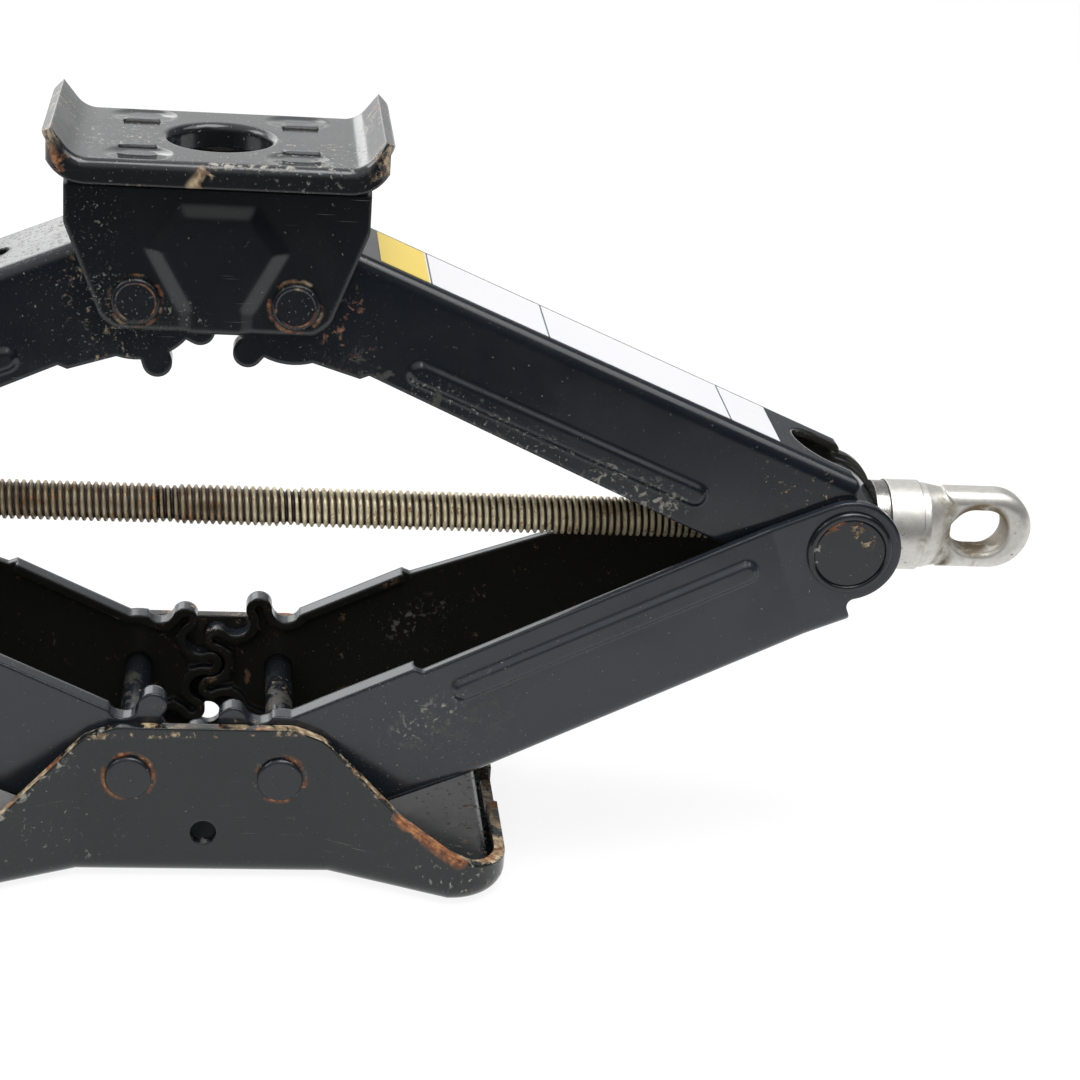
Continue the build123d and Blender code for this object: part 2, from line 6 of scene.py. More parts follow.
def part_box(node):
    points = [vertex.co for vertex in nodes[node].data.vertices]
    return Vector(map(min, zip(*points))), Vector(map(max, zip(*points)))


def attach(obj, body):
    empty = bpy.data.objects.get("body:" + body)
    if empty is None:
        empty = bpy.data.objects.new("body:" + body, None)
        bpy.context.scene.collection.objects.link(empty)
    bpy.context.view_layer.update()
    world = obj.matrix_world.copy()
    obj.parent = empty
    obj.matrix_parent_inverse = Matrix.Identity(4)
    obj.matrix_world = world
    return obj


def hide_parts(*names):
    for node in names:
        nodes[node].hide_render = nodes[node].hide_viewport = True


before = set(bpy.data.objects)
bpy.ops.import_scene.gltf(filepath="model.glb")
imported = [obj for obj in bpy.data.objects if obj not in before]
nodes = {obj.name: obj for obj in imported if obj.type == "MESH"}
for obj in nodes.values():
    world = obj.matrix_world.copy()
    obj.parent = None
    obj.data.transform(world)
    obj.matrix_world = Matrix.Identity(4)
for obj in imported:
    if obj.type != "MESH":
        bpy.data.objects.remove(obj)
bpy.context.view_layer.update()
bpy.ops.object.select_all(action="DESELECT")


# The base is one sheet of steel, folded up into two walls and flared out to its feet. It is
# dipped in glossy black paint, which has worn through to rust along the edges of the feet.
def feed(tree, socket, value):
    """Set a socket to a value, or link it to the output of another node."""
    if isinstance(value, bpy.types.NodeSocket):
        tree.links.new(value, socket)
    else:
        socket.default_value = value


def new_node(tree, kind, place, **values):
    node = tree.nodes.new(kind)
    node.location = place
    for name, value in values.items():
        if name in node.inputs:
            feed(tree, node.inputs[name], value)
        else:
            setattr(node, name, value)
    return node


def new_group(name, inputs, outputs):
    group = bpy.data.node_groups.new(name, "ShaderNodeTree")
    for socket, kind, value in inputs:
        made = group.interface.new_socket(name=socket, in_out="INPUT", socket_type=kind)
        if value is not None:
            made.default_value = value
    for socket, kind in outputs:
        group.interface.new_socket(name=socket, in_out="OUTPUT", socket_type=kind)
    return group


def maths(tree, operation, place, first, second=None, clamp=False):
    node = new_node(tree, "ShaderNodeMath", place, operation=operation, use_clamp=clamp)
    for socket, value in zip(node.inputs, (first, second)):
        if value is not None:
            feed(tree, socket, value)
    return node.outputs[0]


def vector_maths(tree, operation, place, first, second=None, **values):
    node = new_node(tree, "ShaderNodeVectorMath", place, operation=operation, **values)
    for socket, value in zip(node.inputs, (first, second)):
        if value is not None:
            feed(tree, socket, value)
    return node.outputs["Value" if operation in ("DOT_PRODUCT", "LENGTH") else "Vector"]


def split_vector(tree, place, vector):
    node = new_node(tree, "ShaderNodeSeparateXYZ", place)
    tree.links.new(vector, node.inputs[0])
    return node.outputs


def noise(tree, place, vector, **values):
    return new_node(tree, "ShaderNodeTexNoise", place, Vector=vector, **values).outputs["Fac"]


def ramp(tree, place, value, low, high, bottom=0.0, top=1.0, kind="SMOOTHSTEP"):
    """Map a value between low and high to one between bottom and top."""
    node = new_node(tree, "ShaderNodeMapRange", place, interpolation_type=kind)
    for socket, given in (("Value", value), ("From Min", low), ("From Max", high),
                          ("To Min", bottom), ("To Max", top)):
        feed(tree, node.inputs[socket], given)
    return node.outputs["Result"]


def mixed(tree, place, share, under, over):
    node = new_node(tree, "ShaderNodeMix", place, data_type="RGBA", Factor=share)
    feed(tree, node.inputs[6], under)
    feed(tree, node.inputs[7], over)
    return node.outputs[2]


def add_patch(tree, place, mask, spot, patch):
    """The mask, joined by a patch where the spot lets it through."""
    through = maths(tree, "MULTIPLY", (place[0] - 200, place[1]), spot, patch)
    return maths(tree, "MAXIMUM", place, mask, through)


# Specks: a broken-up mask of blots whose size and share of the surface can be set.
specks = new_group("specks", [("Vector", "NodeSocketVector", None), ("Scale", "NodeSocketFloat", 40.0),
                              ("Share", "NodeSocketFloat", 0.3), ("Softness", "NodeSocketFloat", 0.06)],
                   [("Mask", "NodeSocketFloat")])
inside = new_node(specks, "NodeGroupInput", (-900, 0)).outputs
blots = noise(specks, (-600, 0), inside["Vector"], Scale=inside["Scale"], Detail=6.0, Roughness=0.62,
              Distortion=0.4)
halved = maths(specks, "MULTIPLY", (-750, -250), inside["Share"], 0.5)
level = maths(specks, "SUBTRACT", (-600, -250), 0.78, halved)
top_level = maths(specks, "ADD", (-420, -250), level, inside["Softness"])
new_node(specks, "NodeGroupOutput", (0, 0), Mask=ramp(specks, (-250, 0), blots, level, top_level))

# Worn edges: how far the surface turns within a small radius, broken up by noise.
worn_edges = new_group("worn_edges", [("Vector", "NodeSocketVector", None), ("Radius", "NodeSocketFloat", 0.001),
                                      ("Breaks", "NodeSocketFloat", 150.0)], [("Mask", "NodeSocketFloat")])
inside = new_node(worn_edges, "NodeGroupInput", (-900, 0)).outputs
rounded = new_node(worn_edges, "ShaderNodeBevel", (-700, 100), samples=6, Radius=inside["Radius"])
facing = new_node(worn_edges, "ShaderNodeNewGeometry", (-700, -100))
alike = vector_maths(worn_edges, "DOT_PRODUCT", (-500, 0), rounded.outputs["Normal"], facing.outputs["Normal"])
turn = maths(worn_edges, "SUBTRACT", (-330, 0), 1.0, alike)
breaks = noise(worn_edges, (-500, -250), inside["Vector"], Scale=inside["Breaks"], Detail=5.0, Roughness=0.7)
thinned = maths(worn_edges, "SUBTRACT", (-330, -250), maths(worn_edges, "MULTIPLY", (-420, -400), turn, 3.0),
                maths(worn_edges, "MULTIPLY", (-420, -550), breaks, 0.9))
new_node(worn_edges, "NodeGroupOutput", (50, 0), Mask=ramp(worn_edges, (-150, 0), thinned, 0.0, 0.12))

# Scratches: two sets of fine, broken lines that cross each other, in patches.
scratches = new_group("scratches", [("Vector", "NodeSocketVector", None), ("Share", "NodeSocketFloat", 0.3)],
                      [("Mask", "NodeSocketFloat")])
inside = new_node(scratches, "NodeGroupInput", (-1100, 0)).outputs
patches = noise(scratches, (-700, -300), inside["Vector"], Scale=24.0, Detail=3.0)
halved = maths(scratches, "MULTIPLY", (-600, -400), inside["Share"], 0.5)
level = maths(scratches, "SUBTRACT", (-500, -400), 0.8, halved)
patchy = ramp(scratches, (-350, -300), patches, level, maths(scratches, "ADD", (-450, -500), level, 0.1))
sets = []
for row, tilt in ((200, 0.5), (-50, -0.9)):
    lie = new_node(scratches, "ShaderNodeMapping", (-900, row), Vector=inside["Vector"],
                   Rotation=(0.2, tilt, 0.1), Scale=(26, 60, 1500))
    streaks = noise(scratches, (-700, row), lie.outputs["Vector"], Scale=1.0, Detail=1.0)
    sets.append(ramp(scratches, (-500, row), streaks, 0.72, 0.75))
both_sets = maths(scratches, "MAXIMUM", (-300, 100), *sets)
new_node(scratches, "NodeGroupOutput", (50, 0), Mask=maths(scratches, "MULTIPLY", (-150, 0), both_sets, patchy))

# Rust: orange-brown with dark patches.
rust_colours = new_group("rust_colours", [("Vector", "NodeSocketVector", None)], [("Colour", "NodeSocketColor")])
inside = new_node(rust_colours, "NodeGroupInput", (-700, 0)).outputs
grain = noise(rust_colours, (-500, 0), inside["Vector"], Scale=420.0, Detail=6.0, Roughness=0.7)
shades = new_node(rust_colours, "ShaderNodeValToRGB", (-300, 0), Fac=grain)
dark_rust, bright_rust = shades.color_ramp.elements
dark_rust.position, dark_rust.color = 0.34, (0.035, 0.014, 0.008, 1)
bright_rust.position, bright_rust.color = 0.66, (0.52, 0.24, 0.09, 1)
shades.color_ramp.elements.new(0.5).color = (0.21, 0.07, 0.022, 1)
new_node(rust_colours, "NodeGroupOutput", (0, 0), Colour=shades.outputs["Color"])


def use_group(tree, group, place, vector, **values):
    return new_node(tree, "ShaderNodeGroup", place, node_tree=group, Vector=vector, **values).outputs[0]


def blank_material(name):
    material = bpy.data.materials.new(name)
    material.use_nodes = True
    tree = material.node_tree
    tree.nodes.clear()
    shader = new_node(tree, "ShaderNodeBsdfPrincipled", (900, 0))
    new_node(tree, "ShaderNodeOutputMaterial", (1200, 0), Surface=shader.outputs[0])
    vector = new_node(tree, "ShaderNodeTexCoord", (-1600, 0)).outputs["Object"]
    return material, tree, shader, vector


def near_place(tree, place, vector, inner, outer, start, end=None):
    """Mask that is 1 near a point, or near the line to an end. With no Y it runs through the piece."""
    x, y = place
    flat = (1, 0 if start[1] is None else 1, 1)
    point = Vector((start[0], start[1] or 0, start[2]))
    away = vector_maths(tree, "SUBTRACT", place, vector, point)
    if end:
        line = Vector((end[0], end[1] or 0, end[2])) - point
        walked = vector_maths(tree, "DOT_PRODUCT", (x + 100, y - 60), away, line / line.length_squared)
        held = maths(tree, "ADD", (x + 200, y - 60), walked, 0.0, clamp=True)
        nearest = vector_maths(tree, "SCALE", (x + 300, y - 60), line, Scale=held)
        away = vector_maths(tree, "SUBTRACT", (x + 400, y), away, nearest)
    flattened = vector_maths(tree, "MULTIPLY", (x + 500, y), away, flat)
    length = vector_maths(tree, "LENGTH", (x + 600, y), flattened)
    return ramp(tree, (x + 700, y), length, outer, inner)


def edge_faces(tree, place, vector, low, high, over):
    """Mask of the faces that look up, above a height and between two places along X."""
    x, y = place
    turn = split_vector(tree, (x + 150, y), new_node(tree, "ShaderNodeTexCoord", place).outputs["Normal"])
    spot = split_vector(tree, (x + 150, y - 150), vector)
    up = ramp(tree, (x + 300, y), turn["Z"], 0.25, 0.4)
    above = ramp(tree, (x + 300, y - 150), spot["Z"], over, over + 0.001)
    outwards = maths(tree, "ABSOLUTE", (x + 200, y - 300), spot["X"])
    along_x = ramp(tree, (x + 300, y - 300), outwards, low, high)
    return maths(tree, "MULTIPLY", (x + 600, y), maths(tree, "MULTIPLY", (x + 450, y), up, above), along_x)


def relief(tree, shader, height, strength, distance, corner_radius, samples):
    """Bump the surface by a height, and soften the look of its corners."""
    corner = new_node(tree, "ShaderNodeBevel", (200, -750), samples=samples, Radius=corner_radius)
    bump = new_node(tree, "ShaderNodeBump", (400, -600), Strength=strength, Distance=distance,
                    Height=height, Normal=corner.outputs["Normal"])
    tree.links.new(bump.outputs["Normal"], shader.inputs["Normal"])


# Dust shares its colour and mask with a painted sheen on the left upper arm's web.
dust_and_sheen_colour, mud_colour, bare_colour = (0.3, 0.29, 0.25, 1), (0.06, 0.058, 0.047, 1), (0.05, 0.043, 0.035, 1)
dark_tan, light_tan = (0.17, 0.105, 0.055, 1), (0.52, 0.42, 0.27, 1)
dark_grime, brown_grime = (0.03, 0.029, 0.024, 1), (0.3, 0.19, 0.1, 1)


def black_paint(name, colour=(0.0105, 0.0135, 0.0178, 1), rough=0.15, marks=(), rings=(), rust_share=0.1,
                dust_share=0.2, mud_share=0.1, scratch_share=0.35, edge_wear=0.25, rust_edges=None, dished=(),
                grimy_inside=False, corner_radius=0.0014):
    """Glossy black paint with dust, mud, tan soil, scratches and rust. Each of marks is a kind, a
    share, a scale, an inner and an outer reach, and a start with an optional end. Each of rings is
    a centre, a radius and a width, and each of dished a depth and then what a mark has."""
    material, tree, shader, vector = blank_material(name)

    # Masks of what lies on the paint: all over, in the marks, in rings and on the base's edges.
    fine = use_group(tree, specks, (-1300, 500), vector, Scale=900.0, Share=dust_share, Softness=0.04)
    lines = use_group(tree, scratches, (-1300, 650), vector, Share=scratch_share)
    wet = use_group(tree, specks, (-1300, 300), vector, Scale=60.0, Share=mud_share, Softness=0.2)
    masks = {"dust": maths(tree, "MAXIMUM", (-1100, 550), fine, maths(tree, "MULTIPLY", (-1150, 650), lines, 0.5)),
             "mud": maths(tree, "MULTIPLY", (-1100, 300), wet, 0.5),
             "soil": use_group(tree, specks, (-1300, 200), vector, Scale=310.0, Share=0.06, Softness=0.05),
             "rust": use_group(tree, specks, (-1300, 100), vector, Scale=150.0, Share=rust_share, Softness=0.03)}
    for number, (kind, share, scale, inner, outer, *ends) in enumerate(marks):
        row = 900 + 200 * number
        spot = near_place(tree, (-2400, row), vector, inner, outer, *ends)
        patch = use_group(tree, specks, (-1500, row), vector, Scale=scale, Share=share, Softness=0.1)
        masks[kind] = add_patch(tree, (-1000, row), masks[kind], spot, patch)
    for number, (centre, radius, width) in enumerate(rings):
        row = -1300 - 200 * number
        disc = near_place(tree, (-2400, row), vector, radius, radius + width, centre)
        core = near_place(tree, (-2400, row - 100), vector, radius - width, radius, centre)
        ring = maths(tree, "SUBTRACT", (-1400, row), disc, core, clamp=True)
        for kind, shift in (("rust", 0.0), ("soil", 0.4)):
            moved = vector_maths(tree, "ADD", (-1700, row - 50), vector, (shift, 0, 0))
            patch = use_group(tree, specks, (-1500, row - 50), moved, Scale=120.0, Share=0.64 - shift * 0.3,
                              Softness=0.12)
            masks[kind] = add_patch(tree, (-1000, row), masks[kind], ring, patch)
    if rust_edges:
        strip = edge_faces(tree, (-1600, -2000), vector, *rust_edges)
        for kind, row, scale, share in (("rust", -2000, 90.0, 0.5), ("soil", -2200, 110.0, 0.66)):
            patch = use_group(tree, specks, (-1000, row - 100), vector, Scale=scale, Share=share, Softness=0.1)
            masks[kind] = add_patch(tree, (-700, row), masks[kind], strip, patch)
    edges = use_group(tree, worn_edges, (-1300, -100), vector, Radius=0.0005, Breaks=150.0)
    bare = maths(tree, "MULTIPLY", (-1000, -100), edges, edge_wear)

    # Colour: the paint, or the grime inside a channel, under mud, dust (in one place also a painted
    # sheen), soil, wear and rust.
    painted = colour
    if grimy_inside:
        lie = split_vector(tree, (-600, 900), vector)
        normal = new_node(tree, "ShaderNodeTexCoord", (-800, 1100)).outputs["Normal"]
        facing = split_vector(tree, (-600, 1100), normal)
        facing_in = maths(tree, "MULTIPLY", (-400, 1000), lie["Y"], facing["Y"])
        brown = use_group(tree, specks, (-400, 1200), vector, Scale=130.0, Share=0.3, Softness=0.08)
        grime = mixed(tree, (-200, 1200), brown, dark_grime, brown_grime)
        painted = mixed(tree, (0, 1000), ramp(tree, (-200, 1000), facing_in, -0.002, -0.01), colour, grime)
    shade = noise(tree, (0, 700), vector, Scale=380.0, Detail=5.0, Roughness=0.7)
    tan = mixed(tree, (200, 700), ramp(tree, (100, 700), shade, 0.4, 0.62), dark_tan, light_tan)
    rust = use_group(tree, rust_colours, (-1000, -500), vector)
    for number, (mask, over) in enumerate(((masks["mud"], mud_colour), (masks["dust"], dust_and_sheen_colour),
                                           (masks["soil"], tan), (bare, bare_colour), (masks["rust"], rust))):
        painted = mixed(tree, (150 * number, 400), mask, painted, over)
    tree.links.new(painted, shader.inputs["Base Color"])

    # Roughness and height: what lies on the paint is dull, and the paint itself is a little wavy.
    clouds = noise(tree, (-300, -200), vector, Scale=34.0, Detail=7.0, Roughness=0.68)
    dull = bare
    for number, kind in enumerate(("dust", "mud", "soil", "rust")):
        dull = maths(tree, "MAXIMUM", (-300 + 60 * number, -250), dull, masks[kind])
    hazy = maths(tree, "MULTIPLY", (0, -350), ramp(tree, (-100, -350), clouds, 0.35, 0.8), 0.35)
    roughness = maths(tree, "ADD", (100, -200), hazy, dull)
    feed(tree, shader.inputs["Roughness"], ramp(tree, (300, -200), roughness, 0.0, 1.35, rough, 0.75, "LINEAR"))
    peel = noise(tree, (-300, -600), vector, Scale=300.0, Detail=3.0)
    waves = noise(tree, (-300, -900), vector, Scale=28.0, Detail=1.0)
    height = maths(tree, "ADD", (-100, -600), maths(tree, "MULTIPLY", (-200, -700), peel, 0.1),
                   maths(tree, "MULTIPLY", (-200, -800), dull, 0.5))
    height = maths(tree, "ADD", (0, -700), height, maths(tree, "MULTIPLY", (-100, -900), waves, 2.2))
    for number, (depth, inner, outer, *ends) in enumerate(dished):
        row = -2400 - 200 * number
        hollow = near_place(tree, (-1500, row), vector, inner, outer, *ends)
        sunk = maths(tree, "MULTIPLY", (0, row), hollow, depth)
        height = maths(tree, "SUBTRACT", (100, row), height, sunk)
    relief(tree, shader, height, 0.5, 0.00025, corner_radius, 8)
    return material


def dress(material, *names):
    for name in names:
        mesh = nodes[name].data
        mesh.materials.clear()
        mesh.materials.append(material)


pin_x, base_pin_z, rivet_radius = 0.0264, 0.040, 0.0088
base_paint = black_paint(
    "base_paint", colour=(0.0065, 0.0098, 0.0108, 1), rust_share=0.03, scratch_share=0.4,
    rust_edges=(0.0, 0.02, 0.006), grimy_inside=True,
    rings=[((pin_x, None, base_pin_z), rivet_radius, 0.0016), ((-pin_x, None, base_pin_z), rivet_radius, 0.0014)],
    marks=[
        # Along the right foot's front edge.
        ("rust", 0.85, 210, 0.002, 0.0042, (0.0695, -0.0585, 0.0305), (0.09, -0.066, 0.018)),
        ("soil", 0.52, 330, 0.0015, 0.0045, (0.062, -0.054, 0.036), (0.098, -0.06, 0.0145)),
        # Along the top of the walls.
        ("soil", 0.56, 260, 0.0004, 0.0016, (-0.041, None, 0.0555), (0.041, None, 0.0585)),
        ("soil", 0.5, 300, 0.0004, 0.0016, (0.041, None, 0.0575), (0.059, None, 0.0385)),
        ("dust", 0.52, 300, 0.0005, 0.002, (-0.0705, None, 0.028), (-0.036, None, 0.057)),
        # On the foot and on the wall.
        ("dust", 0.36, 420, 0.004, 0.02, (0.084, None, 0.015), (0.1, None, 0.002)),
        ("dust", 0.3, 300, 0.01, 0.03, (-0.05, None, 0.026)),
        ("rust", 0.4, 300, 0.002, 0.014, (0.104, None, 0.004))])
dress(base_paint, "base_plate")

# The base pins are cold-headed steel rivets through both walls and both arms' gear ends,
# painted over with the base, so their heads are black under a film of mud and soil.
pin_paint = black_paint(
    "base_pin_paint", rough=0.2, rust_share=0.06, dust_share=0.22,
    marks=[(kind, share, scale, 0.015, 0.03, (x, 0, base_pin_z))
           for kind, share, scale in (("mud", 0.6, 120), ("soil", 0.34, 260)) for x in (pin_x, -pin_x)])
dress(pin_paint, "base_pin_right", "base_pin_left")

# The lower arms are stamped channels with their open side up. Their walls end in gear lobes
# that mesh over the base, where grease holds grit and the paint has been rubbed off.
top_pin_z, trunnion_x, trunnion_z = 0.207407, 0.225522, 0.123703
lower_paint = black_paint(
    "lower_arm_paint", colour=(0.017, 0.0215, 0.028, 1), rust_share=0.03, corner_radius=0.0018, grimy_inside=True,
    marks=[
        # Dust on the walls and on the bead, and mud behind it.
        ("dust", 0.32, 900, 0.01, 0.05, (0.07, None, 0.048)),
        ("dust", 0.26, 900, 0.01, 0.05, (-0.07, None, 0.048)),
        ("dust", 0.5, 420, 0.001, 0.008, (0.071, None, 0.058), (0.084, None, 0.067)),
        ("mud", 0.52, 200, 0.004, 0.022, (0.078, -0.03, 0.058), (0.1, -0.03, 0.07)),
        # Grit and rust where the lobes mesh.
        ("soil", 0.36, 300, 0.006, 0.03, (0.0, None, 0.06)),
        ("rust", 0.34, 260, 0.006, 0.03, (0.0, None, 0.056))])
dress(lower_paint, "lower_arm_right", "lower_arm_left")

# The trunnions are turned steel blocks between the arms; the screw turns in the right one and
# drives the left one as a nut. Their ends are headed over rings, and painted.
trunnion_paint = black_paint(
    "trunnion_paint", colour=(0.0075, 0.0095, 0.0125, 1), rough=0.1, rust_share=0.03,
    marks=[("soil", 0.52, 300, 0.001, 0.004, (0.2275, None, 0.1325), (0.2315, None, 0.1285)),
           ("rust", 0.72, 200, 0.0006, 0.0015, (0.2165, None, 0.1315), (0.2215, None, 0.1348)),
           ("rust", 0.6, 200, 0.0006, 0.0015, (0.2215, None, 0.1348), (0.2275, None, 0.1352)),
           ("dust", 0.5, 400, 0.0005, 0.0016, (0.2135, None, 0.1262), (0.2135, None, 0.1205))])
dress(trunnion_paint, "thrust_trunnion", "nut_trunnion", "thrust_trunnion_rings", "nut_trunnion_rings")


# The ball thrust bearing takes the load of the screw against the right trunnion. Its races
# and balls are ground bearing steel in old grease.
def stained_steel(name, colour, stain_and_shade_colour, rough, stain_share, metal_share=1.0, stain_scale=60.0, contrast=0.62,
                  marks=()):
    """Metal with stains. Each of marks is a share, a scale, an inner and an outer reach, and a start
    with an optional end."""
    material, tree, shader, vector = blank_material(name)
    stains = use_group(tree, specks, (-1300, 300), vector, Scale=stain_scale, Share=stain_share, Softness=0.25)
    spots = use_group(tree, specks, (-1300, 100), vector, Scale=stain_scale * 5, Share=stain_share * 0.8,
                      Softness=0.08)
    stains_and_shade = maths(tree, "MAXIMUM", (-1000, 200), stains, spots)
    # The marks are patches in the stain colour, used for stains and for painted shade.
    for number, (share, scale, inner, outer, *ends) in enumerate(marks):
        row = 600 + 200 * number
        spot = near_place(tree, (-2400, row), vector, inner, outer, *ends)
        patch = use_group(tree, specks, (-1500, row), vector, Scale=scale, Share=share, Softness=0.3)
        stains_and_shade = add_patch(tree, (-1000, row), stains_and_shade, spot, patch)
    grain = noise(tree, (-1300, -200), vector, Scale=500.0, Detail=5.0, Roughness=0.7)
    darker = tuple(value * contrast for value in colour[:3]) + (1,)
    base = mixed(tree, (-300, 100), ramp(tree, (-1000, -200), grain, 0.3, 0.75), darker, colour)
    feed(tree, shader.inputs["Base Color"], mixed(tree, (0, 100), stains_and_shade, base, stain_and_shade_colour))
    feed(tree, shader.inputs["Roughness"], ramp(tree, (200, -200), stains_and_shade, 0.0, 1.0, rough, 0.75, "LINEAR"))
    feed(tree, shader.inputs["Metallic"], ramp(tree, (200, -400), stains_and_shade, 0.0, 1.0, metal_share, 0.15, "LINEAR"))
    relief(tree, shader, grain, 0.4, 0.0002, 0.0008, 6)
    return material


race_steel = stained_steel("race_steel", (0.42, 0.41, 0.39, 1), (0.06, 0.05, 0.035, 1), 0.22, 0.35)
dress(race_steel, "fixed_race", "rotating_race", "ball_cage", "bearing_balls")

# The screw is a rolled right-hand thread, 14 mm across with a 2.5 mm pitch, dark with old
# grease and rust in its roots and pale on its crests, partly from wear and partly a painted
# highlight. Two places on it are crimped.
thread_pitch, thread_radius, root_radius = 0.0025, 0.007, 0.0058
crest_share, flank_share, root_share = 0.3, 0.26, 0.18
thread_depth = thread_radius - root_radius
screw_low, screw_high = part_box("lead_screw")
thread_start, thread_end = screw_low.x + 0.0005, screw_high.x - 0.0005
crimp_reach, crimp_size = 0.0035, 0.93


def select_where(test):
    bpy.ops.object.mode_set(mode="OBJECT")
    mesh = bpy.context.object.data
    for face in mesh.polygons:
        face.select = False
    for edge in mesh.edges:
        edge.select = False
    for vertex in mesh.vertices:
        vertex.select = test(vertex.co)
    bpy.ops.object.mode_set(mode="EDIT")
    bpy.ops.mesh.select_mode(type="VERT")


bpy.ops.mesh.primitive_plane_add(size=thread_pitch * crest_share, location=(0, 0, 0))
thread = bpy.context.object
thread.name = "screw_thread"
bpy.ops.object.transform_apply()
bpy.ops.object.mode_set(mode="EDIT")
select_where(lambda co: co.y > 0)
bpy.ops.mesh.delete(type="VERT")
bpy.ops.mesh.select_all(action="SELECT")
bpy.ops.transform.translate(value=(0, thread_pitch * crest_share / 2, thread_radius))
for step_x, step_z in ((flank_share, -thread_depth), (root_share, 0), (flank_share, thread_depth)):
    select_where(lambda co: co.x > max(v.co.x for v in thread.data.vertices) - 1e-6)
    bpy.ops.mesh.extrude_region_move(TRANSFORM_OT_translate={"value": (step_x * thread_pitch, 0, step_z)})
bpy.ops.object.mode_set(mode="OBJECT")
screwing = thread.modifiers.new("thread", "SCREW")
screwing.axis = "X"
screwing.steps = screwing.render_steps = 28
screwing.screw_offset = thread_pitch
screwing.iterations = int((thread_end - thread_start) / thread_pitch) - 1
screwing.use_merge_vertices = True
screwing.use_smooth_shade = False
bpy.ops.object.modifier_apply(modifier="thread")
bpy.ops.object.mode_set(mode="EDIT")
bpy.ops.mesh.select_all(action="SELECT")
bpy.ops.mesh.remove_doubles(threshold=2e-6)
bpy.ops.mesh.fill_holes(sides=0)
bpy.ops.mesh.normals_make_consistent(inside=False)
length = max(v.co.x for v in thread.data.vertices) - min(v.co.x for v in thread.data.vertices)
bpy.ops.transform.translate(value=((thread_start + thread_end - length) / 2, 0, trunnion_z))
for crimp in (0.198, 0.241):
    middle_x = trunnion_x - crimp
    select_where(lambda co: abs(co.x - middle_x) < crimp_reach)
    bpy.ops.transform.resize(value=(1, crimp_size, crimp_size), center_override=(middle_x, 0, trunnion_z))
bpy.ops.object.mode_set(mode="OBJECT")
bpy.ops.object.shade_smooth_by_angle(angle=radians(35))

# Its colour goes by the distance from its axis, and is duller at the free end.
thread_steel, tree, shader, vector = blank_material("thread_steel")
away = vector_maths(tree, "SUBTRACT", (-1500, 500), vector, (0, 0, trunnion_z))
across = vector_maths(tree, "MULTIPLY", (-1300, 500), away, (0, 1, 1))
reach = vector_maths(tree, "LENGTH", (-1100, 500), across)
crest = ramp(tree, (-900, 500), reach, root_radius + 0.0001, thread_radius - 0.0004)
grime = use_group(tree, specks, (-1300, 200), vector, Scale=38.0, Share=0.66, Softness=0.3)
speckle = use_group(tree, specks, (-1300, 0), vector, Scale=420.0, Share=0.5, Softness=0.15)
rust = use_group(tree, rust_colours, (-1300, -200), vector)
far_left = ramp(tree, (-1100, -500), split_vector(tree, (-1300, -500), vector)["X"], 0.035, 0.0)
blotches = use_group(tree, specks, (-1100, -700), vector, Scale=45.0, Share=0.62, Softness=0.2)
reddish = maths(tree, "MULTIPLY", (-700, -500), far_left, blotches)
# The pale golden crest colour is partly worn metal and partly a painted highlight on the crests.
golden = mixed(tree, (-700, 300), far_left, (1.0, 0.87, 0.6, 1), (0.46, 0.38, 0.26, 1))
crests = mixed(tree, (-500, 300), grime, golden, (0.36, 0.27, 0.14, 1))
crests = mixed(tree, (-400, 300), reddish, crests, (0.16, 0.085, 0.045, 1))
crests = mixed(tree, (-300, 300), speckle, crests, rust)
feed(tree, shader.inputs["Base Color"], mixed(tree, (0, 300), crest, (0.012, 0.009, 0.006, 1), crests))
feed(tree, shader.inputs["Metallic"], maths(tree, "MULTIPLY", (0, 0), crest, 0.45))
feed(tree, shader.inputs["Roughness"], 0.42)
thread.data.materials.append(thread_steel)
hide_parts("lead_screw")
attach(thread, "screw")
dress(thread_steel, "screw_end_stop")

# The eye is a steel forging pressed onto the screw behind a cup that covers the bearing. Both
# are zinc plated, with yellow-brown stains, and the eye's hole is painted dark brown all
# through: painted shade, partly dirt.
eye_x, cup_x = 0.278722, 0.2545
zinc = stained_steel(
    "stained_and_shaded_zinc", (0.66, 0.65, 0.61, 1), (0.16, 0.12, 0.065, 1), 0.38, 0.34, metal_share=0.75,
    stain_scale=70.0, contrast=0.85,
    # The first mark fills the eye's hole and its rim with the stain colour: painted shade, partly dirt.
    marks=[(1.1, 130, 0.0098, 0.012, (eye_x, None, trunnion_z + 0.001)),
           (0.5, 200, 0.002, 0.009, (eye_x, -0.005, trunnion_z - 0.013)),
           (0.9, 150, 0.0015, 0.006, (0.2645, -0.006, 0.134), (0.2655, -0.006, 0.112)),
           (0.9, 200, 0.0006, 0.003, (cup_x, -0.016, trunnion_z), (cup_x, -0.004, trunnion_z - 0.0155))])
dress(zinc, "screw_eye", "bearing_cup")

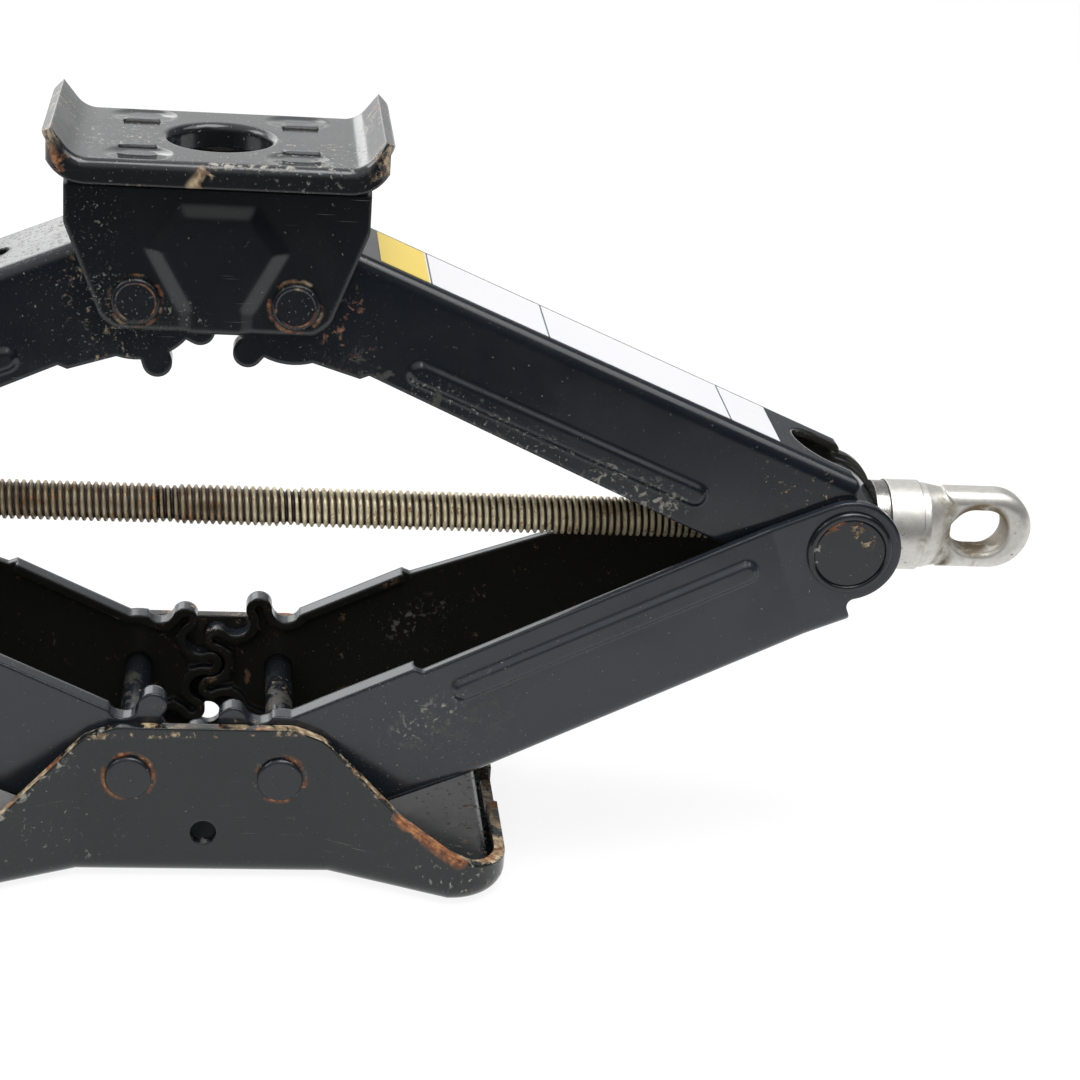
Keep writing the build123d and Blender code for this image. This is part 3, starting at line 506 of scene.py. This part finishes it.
# The upper arms are narrower channels with their open side down, which fold into the lower
# ones. A dusty bead is pressed into each wall.
upper_paint = black_paint(
    "upper_arm_paint", colour=(0.0085, 0.0115, 0.016, 1), rust_share=0.03, corner_radius=0.0018, grimy_inside=True,
    marks=[
        # Dust, soil and rust round the bracket.
        ("dust", 0.28, 900, 0.008, 0.03, (0.035, None, 0.195)),
        ("dust", 0.32, 900, 0.01, 0.04, (-0.04, None, 0.2)),
        ("soil", 0.42, 420, 0.002, 0.012, (-0.043, None, 0.213), (-0.035, None, 0.189)),
        ("rust", 0.42, 330, 0.002, 0.012, (0.0445, None, 0.216), (0.044, None, 0.194)),
        # Along the right arm's bead.
        ("mud", 0.5, 110, 0.002, 0.008, (0.049, None, 0.186), (0.148, None, 0.1385)),
        ("dust", 0.42, 520, 0.002, 0.008, (0.07, None, 0.178), (0.12, None, 0.1555)),
        ("dust", 0.5, 420, 0.001, 0.009, (0.135, None, 0.149), (0.16, None, 0.139)),
        # On the left arm's web dust specks, partly a painted sheen that makes it lighter than the right
        # arm's web; and soil by the right trunnion.
        ("dust", 0.44, 650, 0.012, 0.0225, (-0.045, 0, 0.2225), (-0.2, 0, 0.158)),
        ("soil", 0.36, 420, 0.003, 0.012, (0.196, None, 0.149), (0.212, None, 0.144))])
dress(upper_paint, "upper_arm_right", "upper_arm_left")

# A plain label of white film is stuck to the right upper arm's web: thin grey lines divide it
# into blank fields, and its top end is a plain yellow block.
arm_angle = radians(22.8)
along = Vector((cos(arm_angle), 0, -sin(arm_angle)))
outward = Vector((sin(arm_angle), 0, cos(arm_angle)))
top_pin = Vector((pin_x, 0, top_pin_z))
web_level = max((v.co - top_pin).dot(outward) for v in nodes["upper_arm_right"].data.vertices
                if 0.03 < (v.co - top_pin).dot(along) < 0.21)
label_start, label_end, label_width, film, film_gap = 0.0205, 0.1762, 0.034, 0.00012, 0.00003
line_places, line_reach, block_end = (0.122, 0.41, 0.872), 0.0022, 0.117
bpy.ops.mesh.primitive_grid_add(x_subdivisions=24, y_subdivisions=6, size=1.0)
label = bpy.context.object
label.name = "plain_label"
label.scale = (label_end - label_start, label_width, 1)
label.location = ((label_start + label_end) / 2, 0, 0)
bpy.ops.object.transform_apply()
bpy.ops.object.mode_set(mode="EDIT")
bpy.ops.mesh.select_all(action="SELECT")
bpy.ops.mesh.extrude_region_move(TRANSFORM_OT_translate={"value": (0, 0, film)})
bpy.ops.mesh.select_all(action="SELECT")
bpy.ops.mesh.normals_make_consistent(inside=False)
bpy.ops.object.mode_set(mode="OBJECT")
uv = label.data.uv_layers.active or label.data.uv_layers.new(name="UVMap")
for loop in label.data.loops:
    co = label.data.vertices[loop.vertex_index].co
    uv.data[loop.index].uv = ((co.x - label_start) / (label_end - label_start), co.y / label_width + 0.5)
label.data.transform(Matrix.Translation(top_pin + outward * (web_level + film_gap)) @ Matrix((
    (along.x, 0, outward.x, 0), (0, 1, 0, 0), (along.z, 0, outward.z, 0), (0, 0, 0, 1))))
label_film, tree, shader, vector = blank_material("label_film")
flat = new_node(tree, "ShaderNodeUVMap", (-1600, 300), uv_map=uv.name)
down_label = split_vector(tree, (-1400, 300), flat.outputs["UV"])["X"]
lines = None
for number, centre in enumerate(line_places):
    row = 600 - 100 * number
    gap = maths(tree, "SUBTRACT", (-1200, row), down_label, centre)
    line = maths(tree, "LESS_THAN", (-800, row), maths(tree, "ABSOLUTE", (-1000, row), gap), line_reach)
    lines = line if lines is None else maths(tree, "MAXIMUM", (-600, row), lines, line)
block = maths(tree, "LESS_THAN", (-800, 100), down_label, block_end)
fade = use_group(tree, specks, (-1300, -200), vector, Scale=120.0, Share=0.35, Softness=0.4)
film_colour = mixed(tree, (-400, 300), fade, (0.69, 0.69, 0.71, 1), (0.56, 0.555, 0.55, 1))
film_colour = mixed(tree, (-200, 300), block, film_colour, (0.7, 0.52, 0.08, 1))
film_colour = mixed(tree, (0, 300), lines, film_colour, (0.1, 0.1, 0.12, 1))
feed(tree, shader.inputs["Base Color"], film_colour)
feed(tree, shader.inputs["Roughness"], 0.32)
label.data.materials.append(label_film)
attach(label, "upper_arm_right")

# The bracket is a folded plate riveted to the upper arms' gear ends, with a raised panel
# pressed into each side. Rust has run from its rivets.
bracket_paint = black_paint(
    "bracket_paint", colour=(0.0105, 0.013, 0.0155, 1), rust_share=0.03, grimy_inside=True, corner_radius=0.0028,
    rings=[((pin_x, None, top_pin_z), rivet_radius, 0.0013), ((-pin_x, None, top_pin_z), rivet_radius, 0.001)],
    marks=[
        # Down the plate's left and right edges, then on its face.
        ("soil", 0.5, 400, 0.0004, 0.0022, (-0.045, None, 0.213), (-0.036, None, 0.196)),
        ("rust", 0.5, 400, 0.0004, 0.0022, (0.045, None, 0.213), (0.037, None, 0.196)),
        ("dust", 0.44, 900, 0.004, 0.016, (-0.036, None, 0.206)),
        ("dust", 0.4, 700, 0.003, 0.012, (-0.012, None, 0.201)),
        ("dust", 0.36, 700, 0.003, 0.02, (-0.044, None, 0.235))])
dress(bracket_paint, "top_bracket")
top_pin_paint = black_paint(
    "top_pin_paint", rough=0.2, rust_share=0.04, dust_share=0.3,
    dished=[(3.0, 0.0062, 0.0068, (x, None, top_pin_z)) for x in (pin_x, -pin_x)],
    rings=[((pin_x, None, top_pin_z), 0.0066, 0.0006), ((-pin_x, None, top_pin_z), 0.0066, 0.0005)])
dress(top_pin_paint, "top_pin_right", "top_pin_left")

# The saddle is a thick plate with upturned ends and a drawn hole in the middle. Cars have
# rubbed its lips down to rust, and its sheet is sunk a little round the bracket's tabs.
slot_x, slot_y, saddle_top = 0.026, 0.0245, 0.2569
saddle_paint = black_paint(
    "saddle_paint", colour=(0.0125, 0.0145, 0.0165, 1), rough=0.1, rust_share=0.03, dust_share=0.26, mud_share=0.3,
    scratch_share=0.5, edge_wear=0.6,
    dished=[(11.0, 0.002, 0.009, (x - 0.003, y, saddle_top), (x + 0.003, y, saddle_top))
            for x in (-slot_x, slot_x) for y in (-slot_y, slot_y)],
    marks=[
        # On the front corners of the left and right flares.
        ("soil", 0.66, 200, 0.001, 0.009, (-0.0565, -0.03, 0.272), (-0.0585, -0.034, 0.26)),
        ("rust", 0.5, 220, 0.001, 0.006, (-0.0575, -0.034, 0.26), (-0.05, -0.036, 0.253)),
        ("soil", 0.62, 200, 0.001, 0.008, (0.0535, -0.034, 0.274), (0.055, -0.034, 0.256)),
        ("rust", 0.5, 240, 0.001, 0.006, (0.0555, -0.03, 0.262), (0.055, -0.034, 0.254)),
        # Along the front lip, on its bend and at its foot.
        ("soil", 0.68, 240, 0.0015, 0.004, (-0.004, -0.0355, 0.254), (-0.0075, -0.0355, 0.249)),
        ("dust", 0.6, 330, 0.0006, 0.0022, (-0.002, -0.034, 0.2565), (0.023, -0.034, 0.2572)),
        ("rust", 0.46, 300, 0.0008, 0.003, (-0.03, -0.036, 0.2472), (0.01, -0.036, 0.2462)),
        ("soil", 0.5, 330, 0.0008, 0.003, (-0.03, -0.036, 0.2472), (-0.018, -0.036, 0.2468)),
        # On the flares, all along the front lip, and on top.
        ("dust", 0.5, 260, 0.01, 0.02, (-0.056, 0.01, 0.272)),
        ("dust", 0.5, 260, 0.01, 0.02, (0.056, 0.01, 0.272)),
        ("dust", 0.3, 420, 0.003, 0.009, (-0.04, -0.036, 0.2515), (0.045, -0.036, 0.2535)),
        ("dust", 0.42, 500, 0.006, 0.03, (0.03, -0.02, 0.257)),
        ("dust", 0.4, 500, 0.006, 0.03, (-0.035, 0.0, 0.257)),
        ("rust", 0.4, 300, 0.002, 0.012, (0.05, 0.02, 0.262))])
dress(saddle_paint, "saddle")

# The floor is pale card that ends in front of the jack, glows to the camera and fades from
# reflections towards its end, so that the paint that faces the camera stays dark.
bpy.ops.mesh.primitive_plane_add(size=1.0, location=(0, 0, 0))
floor = bpy.context.object
floor.name = "floor"
floor.scale = (6, 3.5, 1)
floor.location = (0, 1.25, -0.0002)
bpy.ops.object.transform_apply()
fade_end, fade_start = -0.5, -0.34
floor_card = bpy.data.materials.new("floor_card")
floor_card.use_nodes = True
tree = floor_card.node_tree
tree.nodes.clear()
rays = new_node(tree, "ShaderNodeLightPath", (-1000, 300)).outputs
seen = maths(tree, "MAXIMUM", (-800, 300), rays["Is Camera Ray"], rays["Is Glossy Ray"])
seen = maths(tree, "MAXIMUM", (-600, 300), seen, rays["Is Transmission Ray"])
spot = split_vector(tree, (-1000, -200), new_node(tree, "ShaderNodeTexCoord", (-1200, -200)).outputs["Object"])
past_end = maths(tree, "SUBTRACT", (-700, -300), 1.0, ramp(tree, (-800, -200), spot["Y"], fade_end, fade_start))
faded = maths(tree, "MULTIPLY", (-600, -200), rays["Is Glossy Ray"], past_end)
kept = maths(tree, "SUBTRACT", (-400, -200), 1.0, faded)
card = mixed(tree, (-200, 400), kept, (0.06, 0.06, 0.06, 1), (0.85, 0.85, 0.85, 1))
matt = new_node(tree, "ShaderNodeBsdfDiffuse", (0, 200), Color=card)
glow = new_node(tree, "ShaderNodeEmission", (0, 0), Strength=maths(tree, "MULTIPLY", (-200, -200), kept, 1.03))
both = new_node(tree, "ShaderNodeMixShader", (300, 100), Fac=maths(tree, "MULTIPLY", (-200, 300), seen, 0.86))
tree.links.new(matt.outputs[0], both.inputs[1])
tree.links.new(glow.outputs[0], both.inputs[2])
new_node(tree, "ShaderNodeOutputMaterial", (500, 100), Surface=both.outputs[0])
floor.data.materials.append(floor_card)

# The room is a pale sky, bright behind the jack and above it and dim in front and to the
# right, with four softboxes. The camera sees it as white.
world = bpy.data.worlds.new("studio")
bpy.context.scene.world = world
world.use_nodes = True
tree = world.node_tree
tree.nodes.clear()
direction = new_node(tree, "ShaderNodeTexCoord", (-900, 0)).outputs["Generated"]
towards = split_vector(tree, (-700, 0), direction)
above = ramp(tree, (-700, 150), towards["Z"], 0.1, 0.75, 0.06, 0.9)
behind = ramp(tree, (-500, 0), towards["Y"], -0.35, 0.25, above, 1.0)
right = ramp(tree, (-500, -300), towards["X"], 0.05, 0.5, 1.0, 0.15)
room = maths(tree, "MULTIPLY", (-300, -100), behind, right)
rays = new_node(tree, "ShaderNodeLightPath", (-700, 300)).outputs
strength = maths(tree, "MAXIMUM", (-300, 100), room, rays["Is Camera Ray"])
sky = new_node(tree, "ShaderNodeBackground", (0, 0), Color=(1, 1, 1, 1), Strength=strength)
new_node(tree, "ShaderNodeOutputWorld", (200, 0), Surface=sky.outputs[0])


def softbox(name, place, target, width, height, power):
    bpy.ops.object.light_add(type="AREA", location=place)
    lamp = bpy.context.object
    lamp.name = name
    lamp.data.shape = "RECTANGLE"
    lamp.data.size, lamp.data.size_y = width, height
    lamp.data.energy = power
    lamp.rotation_euler = (Vector(target) - Vector(place)).to_track_quat("-Z", "Y").to_euler()


jack_middle = (0, 0, 0.12)
softbox("back_window", (-0.75, 1.5, 0.85), jack_middle, 1.3, 1.0, 7)
softbox("left_lamp", (-1.3, 0.2, 1.2), jack_middle, 0.9, 0.7, 12)
softbox("top_lamp", (0.3, -0.25, 1.6), jack_middle, 1.0, 0.8, 18)
softbox("right_lamp", (0.98, -0.15, 1.45), (0.1, 0, 0.15), 1.1, 0.8, 8)

# The camera stands in front of the jack and above it, turned a little to the right.
camera_data = bpy.data.cameras.new("camera")
camera_data.lens = 84.27
camera_data.sensor_width = 36.0
camera_data.clip_start = 0.01
camera = bpy.data.objects.new("camera", camera_data)
bpy.context.scene.collection.objects.link(camera)
camera_place = (0.00661, -0.83299, 0.47570)
yaw, pitch, roll = 0.133, 0.407, 0.080
camera.matrix_world = (Matrix.Translation(camera_place) @ Matrix.Rotation(-yaw, 4, "Z")
                       @ Matrix.Rotation(pi / 2 - pitch, 4, "X") @ Matrix.Rotation(roll, 4, "Z"))
bpy.context.scene.camera = camera

bpy.context.scene.view_settings.view_transform = "Standard"
